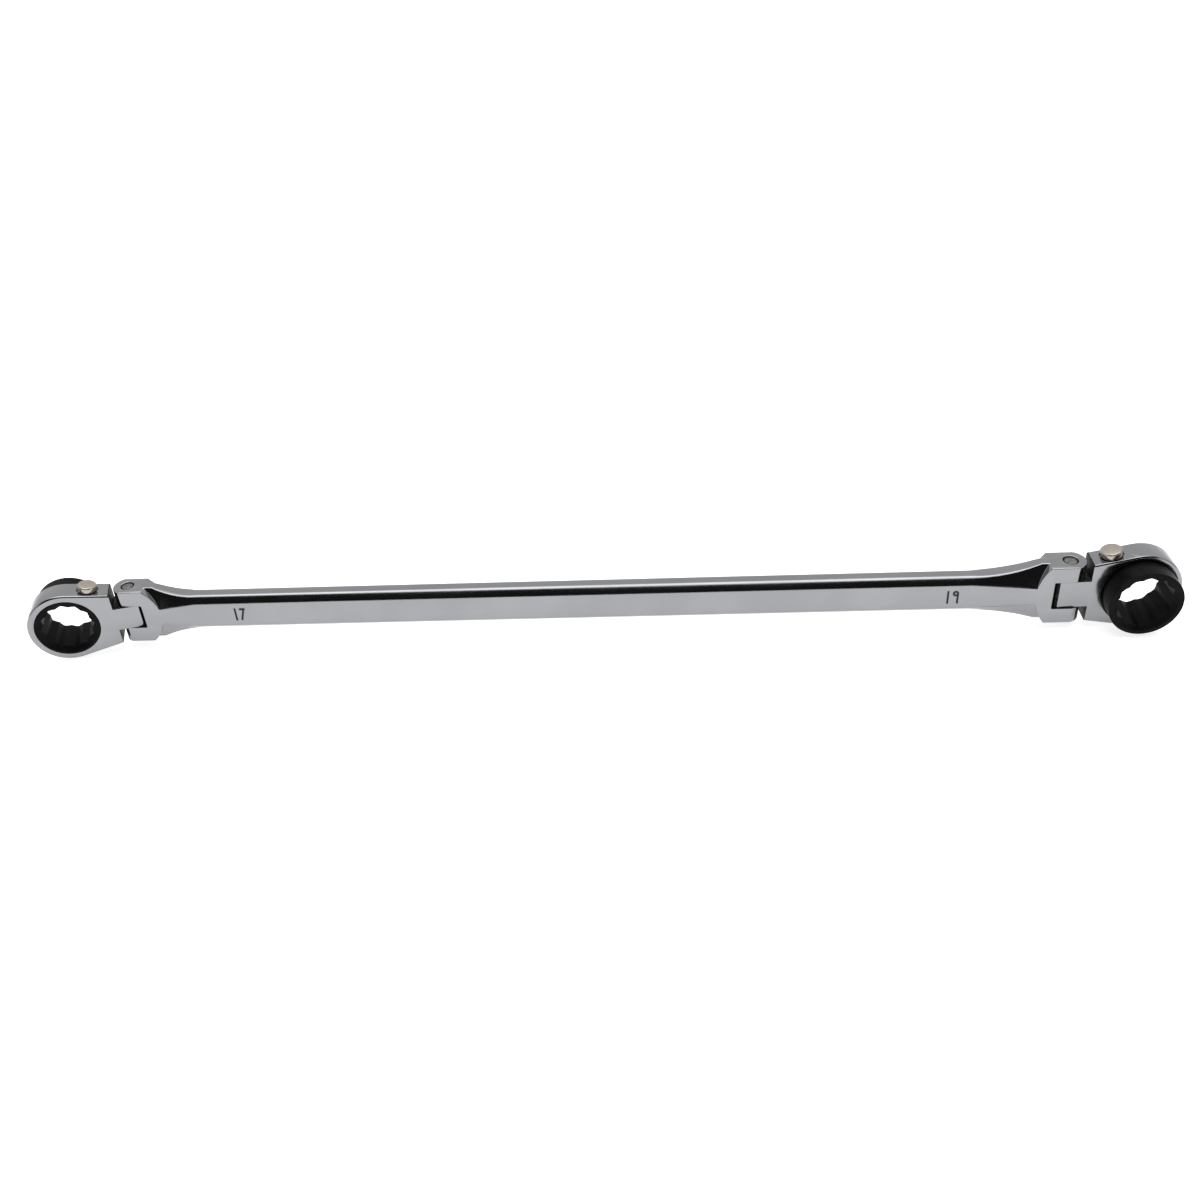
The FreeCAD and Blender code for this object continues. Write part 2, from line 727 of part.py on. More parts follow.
def pawl_room(size):
    """The pawl's pocket beside the bore, and the blind hole for its spring."""
    rear, below = pocket_rear(size), f"({d('pawl_low')}+2*{d('free_gap')})"
    length = f"{d('ring_reach', size)}-{POCKET_START}*{d('band_radius', size)}-{rear}"
    pocket = slab(f"pawl_pocket_{size}", rear, f"{d('pawl_half_width')}+{d('free_gap')}",
                  f"-{below}", length, f"{pocket_roof(size)}+{below}")
    spring_hole = cylinder(f"pawl_spring_hole_{size}", "x", spring_hole_radius("pawl"),
                           f"{rear}-{d('pawl_spring_seat')}", f"{d('pawl_spring_seat')}+1")
    return [pocket, spring_hole]


def button_room(size):
    """The button's round recess in the slanting edge, the pin's guide and a spring seat."""
    recess = doc.addObject("Part::Cylinder", f"button_recess_{size}")
    bind(recess, Radius=d("recess_radius", size), Height=REACH)
    upright_on_edge(recess, size, f"-{d('recess_depth')}")
    guide = cylinder(f"release_guide_{size}", "z",
                     f"{d('release_pin_radius')}+{d('running_gap')}",
                     f"{pocket_roof(size)}-1", REACH, x=release_pin_x(size))
    seat = cylinder(f"button_spring_seat_{size}", "z", spring_hole_radius("button"),
                    f"{recess_floor(size)}-{d('spring_seat_depth')}", REACH,
                    x=release_pin_x(size))
    return [recess, guide, seat]


def housing_cuts(size):
    pivot = cylinder(f"tongue_hole_{size}", "z",
                     f"{d('pin_radius', size)}+{d('running_gap')}", -REACH, 2 * REACH)
    return ring_seat(size) + pawl_room(size) + button_room(size) + [pivot]


def spring_hole_radius(kind):
    wire_edge = f"{d(kind + '_spring_radius')}+{d(kind + '_spring_wire')}/2"
    return f"({wire_edge}+{SPRING_CLEARANCE}*{d('free_gap')})"


def make_housing(size):
    solid = fuse(f"housing_solid_{size}", housing_plate(size), *tongue(size))
    return cut(f"head_housing_{size}", solid, *housing_cuts(size))


def make_pawl(size):
    """A block with teeth for the ring and a 45 degree ramp for the release pin."""
    rear = pawl_rear(size)
    top = f"({pocket_roof(size)}-{PAWL_HEADROOM}*{d('free_gap')})"
    length = f"{d('ring_reach', size)}-{PAWL_START}*{d('band_radius', size)}-{rear}"
    block = slab(f"pawl_block_{size}", rear, d("pawl_half_width"), f"-{d('pawl_low')}",
                 length, f"{top}+{d('pawl_low')}")
    teeth = toothed_prism(f"pawl_teeth_{size}", size, REACH / 2, d("running_gap"))
    toothless = slab(f"pawl_clear_zone_{size}", "0", REACH, d("pawl_tooth_height"), REACH,
                     REACH)
    round_face = ring_cylinder(f"pawl_clear_round_{size}", size,
                               f"{d('band_radius', size)}+3*{d('free_gap')}", -REACH,
                               2 * REACH)
    clear = common(f"pawl_clear_{size}", toothless, round_face)
    ramp_sum = (f"({release_pin_x(size)}-{d('release_foot_radius')}+{release_foot_low(size)}"
                f"-{d('running_gap')}*sqrt(2))")
    ramp = slab(f"pawl_ramp_{size}", f"{ramp_sum}-{top}-2", REACH, f"{top}+2", REACH, REACH,
                45)
    socket = cylinder(f"pawl_socket_{size}", "x", spring_hole_radius("pawl"),
                      f"{rear}-1", f"1+{d('pawl_socket')}")
    return cut(f"pawl_{size}", block, teeth, clear, ramp, socket)


def release_pin_top(size):
    return height_at_pin(size, f"{cap_low()}+{d('cap_height')}-{d('cap_skin')}")


def make_release_pin(size):
    """A headed pin: 45 degree tip, a foot that stops under the pocket's roof, and a shaft."""
    x, foot_low = release_pin_x(size), release_foot_low(size)
    shaft_low = f"({foot_low}+{d('release_foot_height')})"
    point = cone(f"release_point_{size}", "z", d("release_flat"), d("release_foot_radius"),
                 d("release_tip", size), f"{foot_low}-{d('release_tip', size)}", x=x)
    foot = cylinder(f"release_foot_{size}", "z", d("release_foot_radius"), foot_low,
                    d("release_foot_height"), x=x)
    shaft = cylinder(f"release_shaft_{size}", "z", d("release_pin_radius"), shaft_low,
                     f"{release_pin_top(size)}-{shaft_low}", x=x)
    return fuse(f"release_pin_{size}", point, foot, shaft)


def make_button(size):
    """A bevelled cap square to the slanting edge, on the upright release pin."""
    bevel, radius = d("cap_bevel"), d("cap_radius", size)
    drum = doc.addObject("Part::Cylinder", f"cap_drum_{size}")
    bind(drum, Radius=radius, Height=f"{d('cap_height')}-{bevel}")
    upright_on_edge(drum, size, cap_low())
    crown = doc.addObject("Part::Cone", f"cap_crown_{size}")
    bind(crown, Radius1=radius, Radius2=f"{radius}-{bevel}", Height=bevel)
    upright_on_edge(crown, size, f"{cap_low()}+{d('cap_height')}-{bevel}")
    under = f"({height_at_pin(size, cap_low())}-1)"
    pin_hole = cylinder(f"cap_pin_hole_{size}", "z",
                        f"{d('release_pin_radius')}+{d('press_gap')}", under,
                        f"{release_pin_top(size)}-{under}", x=release_pin_x(size))
    spring_hole = cylinder(f"cap_spring_hole_{size}", "z", spring_hole_radius("button"),
                           under, f"1+{d('cap_socket')}", x=release_pin_x(size))
    return cut(f"release_button_{size}", fuse(f"cap_{size}", drum, crown), pin_hole,
               spring_hole)


def coil(name, radius, wire, length):
    """A round-wire compression spring along +Z that just fills its length."""
    obj = doc.addObject("Part::Feature", name)
    rise = length - wire
    helix = Part.makeHelix(rise / SPRING_TURNS, rise, radius)
    section = Part.makeCircle(wire / 2, FreeCAD.Vector(radius, 0, 0), FreeCAD.Vector(0, 1, 0))
    spring = Part.Wire(helix.Edges).makePipeShell([Part.Wire([section])], True, True)
    spring.translate(FreeCAD.Vector(0, 0, wire / 2))
    obj.Shape = spring
    return obj


def make_pawl_spring(size):
    low = value(f"{pocket_rear(size)}-{d('pawl_spring_seat')}") + SPRING_END_GAP
    high = value(f"{pawl_rear(size)}+{d('pawl_socket')}") - SPRING_END_GAP
    spring = coil(f"pawl_spring_{size}", value(d("pawl_spring_radius")),
                  value(d("pawl_spring_wire")), high - low)
    return spring, FreeCAD.Placement(FreeCAD.Vector(low, 0, 0), X_AXIS)


def make_button_spring(size):
    low = value(f"{recess_floor(size)}-{d('spring_seat_depth')}") + SPRING_END_GAP
    high = value(f"{height_at_pin(size, cap_low())}+{d('cap_socket')}") - SPRING_END_GAP
    spring = coil(f"button_spring_{size}", value(d("button_spring_radius")),
                  value(d("button_spring_wire")), high - low)
    place = FreeCAD.Vector(value(release_pin_x(size)), 0, low)
    return spring, FreeCAD.Placement(place, FreeCAD.Rotation())


def plunger_tip(size):
    """Local X of the plunger's tip, just clear of the tongue's round end."""
    return f"(-{d('tongue_radius', size)}-{d('running_gap')})"


def make_plunger(size):
    """A friction plunger behind the tongue; it lies in the shank, so local X is negative."""
    nose, tip = d("plunger_nose"), plunger_tip(size)
    point = cone(f"plunger_nose_{size}", "x", d("plunger_radius"), d("plunger_flat"),
                 f"{tip}-{nose}", nose)
    length = f"({d('plunger_length')}-{nose})"
    drum = cylinder(f"plunger_drum_{size}", "x", d("plunger_radius"),
                    f"{tip}-{nose}-{length}", length)
    return fuse(f"flex_plunger_{size}", point, drum)


def make_plunger_spring(size):
    high = value(f"{plunger_tip(size)}-{d('plunger_length')}") - SPRING_END_GAP
    low = -value(d("plunger_bore_length")) + SPRING_END_GAP
    spring = coil(f"flex_spring_{size}", value(d("plunger_spring_radius")),
                  value(d("plunger_spring_wire")), high - low)
    return spring, FreeCAD.Placement(FreeCAD.Vector(low, 0, 0), X_AXIS)


def make_pivot_pin(size):
    half = f"({d('yoke_height', size)}/2-{d('pin_recess', size)})"
    return cylinder(f"pivot_pin_{size}", "z", d("pin_radius", size), f"-{half}", f"2*{half}",
                    x=pivot_x(size), y=f"-{d('shank_thick')}/2")


def place_at_end(obj, size, flexed):
    """Move a piece drawn about its pivot to its end of the wrench."""
    turn = "180" if size == "17" else "0"
    if flexed:
        turn = f"{turn}+{d('flex_angle', size)}"
    start = FreeCAD.Rotation(FreeCAD.Vector(0, 0, 1), 1)
    obj.Placement = FreeCAD.Placement(FreeCAD.Vector(), start)
    bind(obj, Placement__Base__x=pivot_x(size), Placement__Base__y=f"-{d('shank_thick')}/2",
         Placement__Rotation__Angle=turn)
    return obj


def place_spring(spring, local, size, flexed):
    """A coil's own Placement is worked out here, because its shape is set directly."""
    turn = (180 if size == "17" else 0) + (value(d("flex_angle", size)) if flexed else 0)
    pivot = FreeCAD.Vector(value(pivot_x(size)), -value(d("shank_thick")) / 2, 0)
    end = FreeCAD.Placement(pivot, FreeCAD.Rotation(FreeCAD.Vector(0, 0, 1), turn))
    spring.Placement = end.multiply(local)
    return spring


def make_end(size):
    """Every piece of one ratchet head and of its joint with the shank."""
    on_head = [
        make_housing(size),
        make_drive_ring(size),
        make_clip(size),
        make_pawl(size),
        make_release_pin(size),
        make_button(size),
    ]
    pieces = [place_at_end(piece, size, True) for piece in on_head]
    pieces.append(place_at_end(make_plunger(size), size, False))
    pieces.append(make_pivot_pin(size))
    pieces.append(place_spring(*make_pawl_spring(size), size, True))
    pieces.append(place_spring(*make_button_spring(size), size, True))
    pieces.append(place_spring(*make_plunger_spring(size), size, False))
    return pieces


def make_all():
    shank = make_shank()
    bind(shank, Placement__Base__y=f"-{d('shank_thick')}/2")
    pieces = [shank]
    for size in SIZES:
        pieces += make_end(size)
    return pieces


def check_document():
    failed = [
        obj.Name for obj in doc.Objects if {"Invalid", "Error"} & set(obj.State)
    ]
    if failed:
        raise RuntimeError("failed objects: " + ", ".join(failed))


def write_pieces(pieces):
    os.makedirs("parts", exist_ok=True)
    for piece in pieces:
        piece.Label = piece.Name
        if piece.Shape.isNull() or not piece.Shape.isValid():
            raise RuntimeError("bad shape: " + piece.Label)
        piece.Shape.exportStep(f"parts/{piece.Label}.step")
        box_now = piece.Shape.BoundBox
        print(f"{piece.Label:26s} {piece.Shape.Volume:10.2f} mm3  solids "
              f"{len(piece.Shape.Solids)}  X {box_now.XMin:8.2f} {box_now.XMax:8.2f}")


pieces = make_all()
doc.recompute()
check_document()
write_pieces(pieces)
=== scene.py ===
import json
import math

import bpy
from mathutils import Matrix, Vector


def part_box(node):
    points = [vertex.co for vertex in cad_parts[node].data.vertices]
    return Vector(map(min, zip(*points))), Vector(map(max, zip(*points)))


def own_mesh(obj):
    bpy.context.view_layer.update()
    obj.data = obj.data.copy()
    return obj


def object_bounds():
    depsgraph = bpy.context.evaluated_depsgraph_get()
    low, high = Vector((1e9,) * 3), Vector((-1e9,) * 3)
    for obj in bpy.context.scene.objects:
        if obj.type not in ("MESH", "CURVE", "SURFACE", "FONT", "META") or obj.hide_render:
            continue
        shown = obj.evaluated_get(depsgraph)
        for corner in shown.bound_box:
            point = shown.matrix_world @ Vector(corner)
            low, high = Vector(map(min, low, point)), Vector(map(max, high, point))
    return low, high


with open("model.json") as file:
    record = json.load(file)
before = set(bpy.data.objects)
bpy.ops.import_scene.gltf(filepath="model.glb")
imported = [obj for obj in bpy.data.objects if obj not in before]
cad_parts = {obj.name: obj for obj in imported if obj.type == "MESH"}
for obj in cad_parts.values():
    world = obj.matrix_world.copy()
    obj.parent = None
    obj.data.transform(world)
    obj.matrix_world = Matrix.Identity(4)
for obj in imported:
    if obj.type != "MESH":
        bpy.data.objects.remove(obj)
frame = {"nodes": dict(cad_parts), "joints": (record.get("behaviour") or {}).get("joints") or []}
cad_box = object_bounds()

MM = 0.001
SIZES = ("17", "19")
SHANK_THICK = 9.0 * MM
BUMP_SCALE = 1.0 * MM            # one unit of bump height, in metres
DIGIT_CENTRES = (-135.7 * MM, 134.8 * MM)
DIGIT_HALF_WIDTH = 3.2 * MM
DIGIT_HALF_HEIGHT = 3.0 * MM

# ---------------------------------------------------------------- places read from the frame


def joint(name):
    return next(j for j in frame["joints"] if j["name"] == name)


def head_matrix(size):
    """From a head's own frame (X away from the shank, Y along the ring, Z up) to the row."""
    ring = joint(f"ring_spin_{size}")
    pivot = Vector(joint(f"flex_{size}")["pos_m"])
    along = Vector(ring["axis"]).normalized()
    up = Vector((0, 0, 1))
    out = along.cross(up)
    turn = Matrix((out, along, up)).transposed().to_4x4()
    return Matrix.Translation(pivot) @ turn


def ring_reach(size):
    """Distance from the pivot axis to the drive ring's axis."""
    gap = Vector(joint(f"ring_spin_{size}")["pos_m"]) - Vector(joint(f"flex_{size}")["pos_m"])
    return gap.length


# ---------------------------------------------------------------- node tree helpers


class Tree:
    """A material's node tree with short calls for the nodes that the finishes share."""

    def __init__(self, name):
        self.material = bpy.data.materials.new(name)
        self.material.use_nodes = True
        self.tree = self.material.node_tree
        self.tree.nodes.clear()
        self.coords = self.node("ShaderNodeTexCoord").outputs["Object"]

    def node(self, kind, **settings):
        made = self.tree.nodes.new(kind)
        for key, setting in settings.items():
            setattr(made, key, setting)
        return made

    def link(self, source, target):
        if hasattr(source, "links"):
            self.tree.links.new(source, target)
        else:
            target.default_value = source

    def maths(self, operation, *inputs):
        made = self.node("ShaderNodeMath", operation=operation)
        for socket, source in zip(made.inputs, inputs):
            self.link(source, socket)
        return made.outputs[0]

    def length(self, first, second):
        squares = [self.maths("MULTIPLY", side, side) for side in (first, second)]
        return self.maths("SQRT", self.maths("ADD", *squares))

    def mapped(self, scale=(1, 1, 1), matrix=None):
        """Object coordinates, taken into a head's own frame if a matrix is given."""
        source = self.coords
        if matrix is not None:
            back = matrix.inverted()
            place = self.node("ShaderNodeMapping", vector_type="POINT")
            self.link(source, place.inputs["Vector"])
            place.inputs["Location"].default_value = back.to_translation()
            place.inputs["Rotation"].default_value = back.to_euler()
            source = place.outputs["Vector"]
        if tuple(scale) != (1, 1, 1):
            stretch = self.node("ShaderNodeMapping", vector_type="POINT")
            self.link(source, stretch.inputs["Vector"])
            stretch.inputs["Scale"].default_value = scale
            source = stretch.outputs["Vector"]
        return source

    def noise(self, vector, scale, detail=3.0, roughness=0.5):
        made = self.node("ShaderNodeTexNoise")
        self.link(vector, made.inputs["Vector"])
        made.inputs["Scale"].default_value = scale
        made.inputs["Detail"].default_value = detail
        made.inputs["Roughness"].default_value = roughness
        return made.outputs["Fac"]

    def cells(self, vector, scale):
        made = self.node("ShaderNodeTexVoronoi", feature="F1")
        self.link(vector, made.inputs["Vector"])
        made.inputs["Scale"].default_value = scale
        return made.outputs["Distance"]

    def split(self, vector):
        made = self.node("ShaderNodeSeparateXYZ")
        self.link(vector, made.inputs[0])
        return made.outputs

    def ramp(self, source, low, high, out_low=0.0, out_high=1.0):
        made = self.node("ShaderNodeMapRange", interpolation_type="SMOOTHSTEP")
        self.link(source, made.inputs["Value"])
        limits = (low, high, out_low, out_high)
        for key, limit in zip(("From Min", "From Max", "To Min", "To Max"), limits):
            made.inputs[key].default_value = limit
        return made.outputs["Result"]

    def mix_value(self, factor, low, high):
        made = self.node("ShaderNodeMix", data_type="FLOAT")
        self.link(factor, made.inputs[0])
        self.link(low, made.inputs[2])
        self.link(high, made.inputs[3])
        return made.outputs[0]

    def mix_colour(self, factor, low, high):
        made = self.node("ShaderNodeMix", data_type="RGBA")
        self.link(factor, made.inputs[0])
        self.link(low, made.inputs[6])
        self.link(high, made.inputs[7])
        return made.outputs[2]

    def face_normal(self, matrix=None):
        """The surface's direction in the object's own axes, so it turns with the piece."""
        world = self.node("ShaderNodeNewGeometry").outputs["Normal"]
        local = self.node("ShaderNodeVectorTransform", vector_type="NORMAL",
                          convert_from="WORLD", convert_to="OBJECT")
        self.link(world, local.inputs[0])
        source = local.outputs[0]
        if matrix is not None:
            turn = self.node("ShaderNodeMapping", vector_type="VECTOR")
            self.link(source, turn.inputs["Vector"])
            turn.inputs["Rotation"].default_value = matrix.inverted().to_euler()
            source = turn.outputs["Vector"]
        return source

    def rounded_normal(self, radius):
        """The surface's direction with its sharp edges rounded off by `radius`."""
        made = self.node("ShaderNodeBevel", samples=6)
        self.link(radius, made.inputs["Radius"])
        return made.outputs["Normal"]

    def bump(self, height, strength, distance, normal=None):
        made = self.node("ShaderNodeBump")
        made.inputs["Strength"].default_value = strength
        made.inputs["Distance"].default_value = distance
        self.link(height, made.inputs["Height"])
        if normal is not None:
            self.link(normal, made.inputs["Normal"])
        return made.outputs["Normal"]

    def finish(self, colour, roughness, metallic, normal=None, specular=0.5, glow=None):
        shader = self.node("ShaderNodeBsdfPrincipled")
        self.link(colour, shader.inputs["Base Color"])
        self.link(roughness, shader.inputs["Roughness"])
        self.link(metallic, shader.inputs["Metallic"])
        shader.inputs["Specular IOR Level"].default_value = specular
        if glow is not None:
            self.link(colour, shader.inputs["Emission Color"])
            self.link(glow, shader.inputs["Emission Strength"])
        if normal is not None:
            self.link(normal, shader.inputs["Normal"])
        output = self.node("ShaderNodeOutputMaterial")
        self.tree.links.new(shader.outputs["BSDF"], output.inputs["Surface"])
        return self.material


def rgb(red, green, blue):
    return (red, green, blue, 1.0)


# ---------------------------------------------------------------- finishes

CHROME = rgb(0.285, 0.288, 0.300)
CHROME_DULL = rgb(0.262, 0.265, 0.276)
# painted shade: near-black tones for the rough forging in the gaps between fork and head
SHADED_FORGING_DARK = rgb(0.016, 0.015, 0.015)
SHADED_FORGING_LIGHT = rgb(0.110, 0.105, 0.100)
ENGRAVED = rgb(0.045, 0.045, 0.048)
BAR_EDGE = 0.85 * MM             # how far the polishing rounds the edges over
YOKE_EDGE = 0.35 * MM
HEAD_EDGE = 0.14 * MM
CONE_RADIUS = {"17": 11.35 * MM, "19": 11.95 * MM}   # just past the wide end of a ring's cone
BORE_ROUGHNESS = 0.45
YOKE_START = 158.0 * MM          # the crisp edges of the yokes begin here on X
YOKE_FULL = 166.0 * MM


def chrome_finish(t, rough_shaded_mask, edge_radius, matrix=None):
    """Chrome over a polished forging: satin flats, mirror-bright edges, rough unpolished gaps
    painted near black as shade.

    rough_shaded_mask is 1 where the forging was never polished; there its near-black colour is
    painted shade.
    """
    spot = t.mapped(matrix=matrix)
    normal = t.split(t.face_normal(matrix))
    flatness = t.ramp(t.maths("ABSOLUTE", normal[1]), 0.90, 0.985)
    brushed = t.noise(t.mapped((30, 500, 650), matrix), 1.0, 3.0, 0.55)
    cloud = t.noise(spot, 45.0, 3.0)
    grain = t.noise(spot, 2600.0, 3.0, 0.6)
    pits = t.ramp(t.cells(spot, 420.0), 0.05, 0.13)
    scratches = t.ramp(t.noise(t.mapped((25, 2200, 2400), matrix), 1.0, 2.0), 0.66, 0.74)
    casting = t.noise(spot, 1500.0, 5.0, 0.7)

    satin = t.maths("ADD", t.ramp(brushed, 0.25, 0.75, 0.17, 0.21),
                    t.ramp(cloud, 0.35, 0.65, -0.01, 0.02))
    mirror = t.ramp(cloud, 0.3, 0.7, 0.09, 0.13)
    polished = t.mix_value(flatness, mirror, satin)
    worn = t.maths("ADD", polished, t.maths("MULTIPLY", scratches, 0.05))
    roughness = t.mix_value(rough_shaded_mask, worn, 0.6)

    plate = t.mix_colour(t.ramp(cloud, 0.3, 0.7), CHROME, CHROME_DULL)
    marked = t.mix_colour(pits, rgb(0.24, 0.24, 0.25), plate)
    speckled = t.mix_colour(t.maths("MULTIPLY", flatness, 0.35), plate, marked)
    # painted shade: the gap faces take the near-black forging colour
    shaded_bare = t.mix_colour(t.ramp(casting, 0.42, 0.72), SHADED_FORGING_DARK, SHADED_FORGING_LIGHT)
    colour = t.mix_colour(rough_shaded_mask, speckled, shaded_bare)

    rounded = t.rounded_normal(edge_radius)
    fine = t.bump(brushed, 0.02, 0.008 * BUMP_SCALE, rounded)
    fine = t.bump(grain, 0.06, 0.010 * BUMP_SCALE, fine)
    fine = t.bump(pits, 0.12, 0.012 * BUMP_SCALE, fine)
    coarse = t.bump(casting, 0.9, 0.25 * BUMP_SCALE)
    blended = t.node("ShaderNodeMix", data_type="VECTOR")
    t.link(rough_shaded_mask, blended.inputs[0])
    t.link(fine, blended.inputs[4])
    t.link(coarse, blended.inputs[5])
    return colour, roughness, blended.outputs[1]


# where the mirror polish stops on the forks and heads, and the painted shade of the gaps begins
FORK_REACH = 8.6 * MM            # from the pivot along X
SLOT_HALF = {"17": 5.1 * MM, "19": 5.85 * MM}        # half the height of a fork's slot
SHOULDER_REACH = {"17": 7.25 * MM, "19": 7.55 * MM}  # just past the face beside the tongue
OUTWARD = 0.45                   # X of a face's direction from which it counts as an end face
SQUARE_ON = 0.8                  # share of a face's direction from which it faces that way
ENGRAVING_START = -SHANK_THICK + 0.06 * MM
ENGRAVING_DEEPEST = -SHANK_THICK + 0.5 * MM


def digit_mask(t):
    """1 inside the engraved numbers, which are cut 0.25 mm below the front flat."""
    x, y, z = t.split(t.coords)
    below = t.maths("GREATER_THAN", y, ENGRAVING_START)
    masks = []
    for centre in DIGIT_CENTRES:
        beside = t.maths("ABSOLUTE", t.maths("SUBTRACT", x, centre))
        masks.append(t.maths("LESS_THAN", beside, DIGIT_HALF_WIDTH))
    near = t.maths("MAXIMUM", *masks)
    level = t.maths("LESS_THAN", t.maths("ABSOLUTE", z), DIGIT_HALF_HEIGHT)
    front = t.maths("LESS_THAN", y, ENGRAVING_DEEPEST)
    inside = t.maths("MULTIPLY", t.maths("MULTIPLY", near, level), below)
    return t.maths("MULTIPLY", inside, front)


def fork_gap_shade_mask(t):
    """1 on the slot walls and ear ends of both forks, which the polishing belt can't reach and
    which get painted shade.
    """
    masks = []
    x, _, z = t.split(t.coords)
    for size in SIZES:
        pivot = Vector(joint(f"flex_{size}")["pos_m"])
        near = t.maths("LESS_THAN", t.maths("ABSOLUTE", t.maths("SUBTRACT", x, pivot.x)),
                       FORK_REACH)
        inside = t.maths("LESS_THAN", t.maths("ABSOLUTE", z), SLOT_HALF[size])
        side = -1 if size == "17" else 1
        normal = t.split(t.face_normal())
        facing = t.maths("GREATER_THAN", t.maths("MULTIPLY", normal[0], side), OUTWARD)
        not_face = t.maths("LESS_THAN", t.maths("ABSOLUTE", normal[1]), SQUARE_ON)
        not_top = t.maths("LESS_THAN", t.maths("ABSOLUTE", normal[2]), SQUARE_ON)
        end_face = t.maths("MULTIPLY", facing, not_face)
        slot_wall = t.maths("MULTIPLY", inside, not_face)
        hidden = t.maths("MAXIMUM", t.maths("MULTIPLY", end_face, not_top), slot_wall)
        masks.append(t.maths("MULTIPLY", near, hidden))
    return t.maths("MAXIMUM", *masks)


def shoulder_gap_shade_mask(t, size, matrix):
    """1 on the head's shoulder and tongue sides, which face the fork and get painted shade."""
    x = t.split(t.mapped(matrix=matrix))[0]
    normal = t.split(t.face_normal(matrix))
    near = t.maths("LESS_THAN", x, SHOULDER_REACH[size])
    not_face = t.maths("LESS_THAN", t.maths("ABSOLUTE", normal[1]), SQUARE_ON)
    return t.maths("MULTIPLY", near, not_face)


def shank_material():
    t = Tree("shank_chrome")
    engraved = digit_mask(t)
    along = t.maths("ABSOLUTE", t.split(t.coords)[0])
    edge_radius = t.ramp(along, YOKE_START, YOKE_FULL, BAR_EDGE, YOKE_EDGE)
    edge_radius = t.mix_value(engraved, edge_radius, 0.05 * MM)
    # the fork's slot walls and ear ends get painted shade in their colour
    colour, roughness, normal = chrome_finish(t, fork_gap_shade_mask(t), edge_radius)
    colour = t.mix_colour(engraved, colour, ENGRAVED)
    return t.finish(colour, t.mix_value(engraved, roughness, 0.6), 1.0, normal)


def housing_material(size):
    t = Tree(f"housing_chrome_{size}")
    matrix = head_matrix(size)
    # the head's shoulder and tongue sides get painted shade in their colour
    colour, roughness, normal = chrome_finish(t, shoulder_gap_shade_mask(t, size, matrix), HEAD_EDGE,
                                              matrix)
    return t.finish(colour, roughness, 1.0, normal)


def bore_mask(t, size, matrix):
    """1 inside the ring's opening and its lead-in cones, where the black is dull."""
    x, _, z = t.split(t.mapped(matrix=matrix))
    out = t.maths("SUBTRACT", x, ring_reach(size))
    radius = t.length(out, z)
    return t.maths("LESS_THAN", radius, CONE_RADIUS[size])


def black_steel_material(size):
    """Black oxide over turned steel, with its edges rounded in the shading."""
    t = Tree(f"black_oxide_{size}")
    spot = t.mapped(matrix=head_matrix(size))
    grain = t.noise(spot, 1800.0, 4.0, 0.6)
    cloud = t.noise(spot, 180.0, 4.0, 0.6)
    turned = t.noise(t.mapped((60, 6000, 60), head_matrix(size)), 1.0, 2.0)
    colour = t.mix_colour(t.ramp(cloud, 0.35, 0.7), rgb(0.003, 0.003, 0.0035),
                          rgb(0.007, 0.007, 0.0075))
    roughness = t.maths("ADD", t.ramp(grain, 0.3, 0.7, 0.24, 0.38),
                        t.ramp(cloud, 0.3, 0.7, -0.03, 0.05))
    roughness = t.mix_value(bore_mask(t, size, head_matrix(size)), roughness, BORE_ROUGHNESS)
    normal = t.bump(turned, 0.12, 0.02 * BUMP_SCALE, t.rounded_normal(0.25 * MM))
    normal = t.bump(grain, 0.18, 0.02 * BUMP_SCALE, normal)
    return t.finish(colour, roughness, 0.0, normal, specular=0.045)


def plain_steel_material(name, dark, light, rough):
    """Machined or drawn steel with a fine grain and cloudy tone."""
    t = Tree(name)
    grain = t.noise(t.coords, 2400.0, 4.0, 0.6)
    cloud = t.noise(t.coords, 350.0, 3.0)
    colour = t.mix_colour(t.ramp(cloud, 0.3, 0.7), dark, light)
    roughness = t.ramp(grain, 0.25, 0.75, rough, rough + 0.14)
    normal = t.bump(grain, 0.15, 0.02 * BUMP_SCALE)
    return t.finish(colour, roughness, 1.0, normal)


def nickel_material(size):
    """Warm nickel on the button: a smoother top and a brushed, rougher side."""
    t = Tree(f"nickel_{size}")
    matrix = head_matrix(size)
    normal = t.split(t.face_normal(matrix))
    top = t.ramp(normal[2], 0.75, 0.97)
    brushed = t.noise(t.mapped((300, 3200, 300), matrix), 1.0, 3.0)
    cloud = t.noise(t.coords, 420.0, 3.0)
    colour = t.mix_colour(t.ramp(cloud, 0.3, 0.7), rgb(0.385, 0.35, 0.305),
                          rgb(0.36, 0.325, 0.283))
    roughness = t.mix_value(top, 0.22, t.ramp(brushed, 0.3, 0.7, 0.24, 0.30))
    bump = t.bump(brushed, 0.006, 0.005 * BUMP_SCALE, t.rounded_normal(0.15 * MM))
    return t.finish(colour, roughness, 1.0, bump)


RIM_SHADE_BAND = (0.75 * MM, 0.35 * MM)      # the painted shade line fades in over this part of a pin's rim


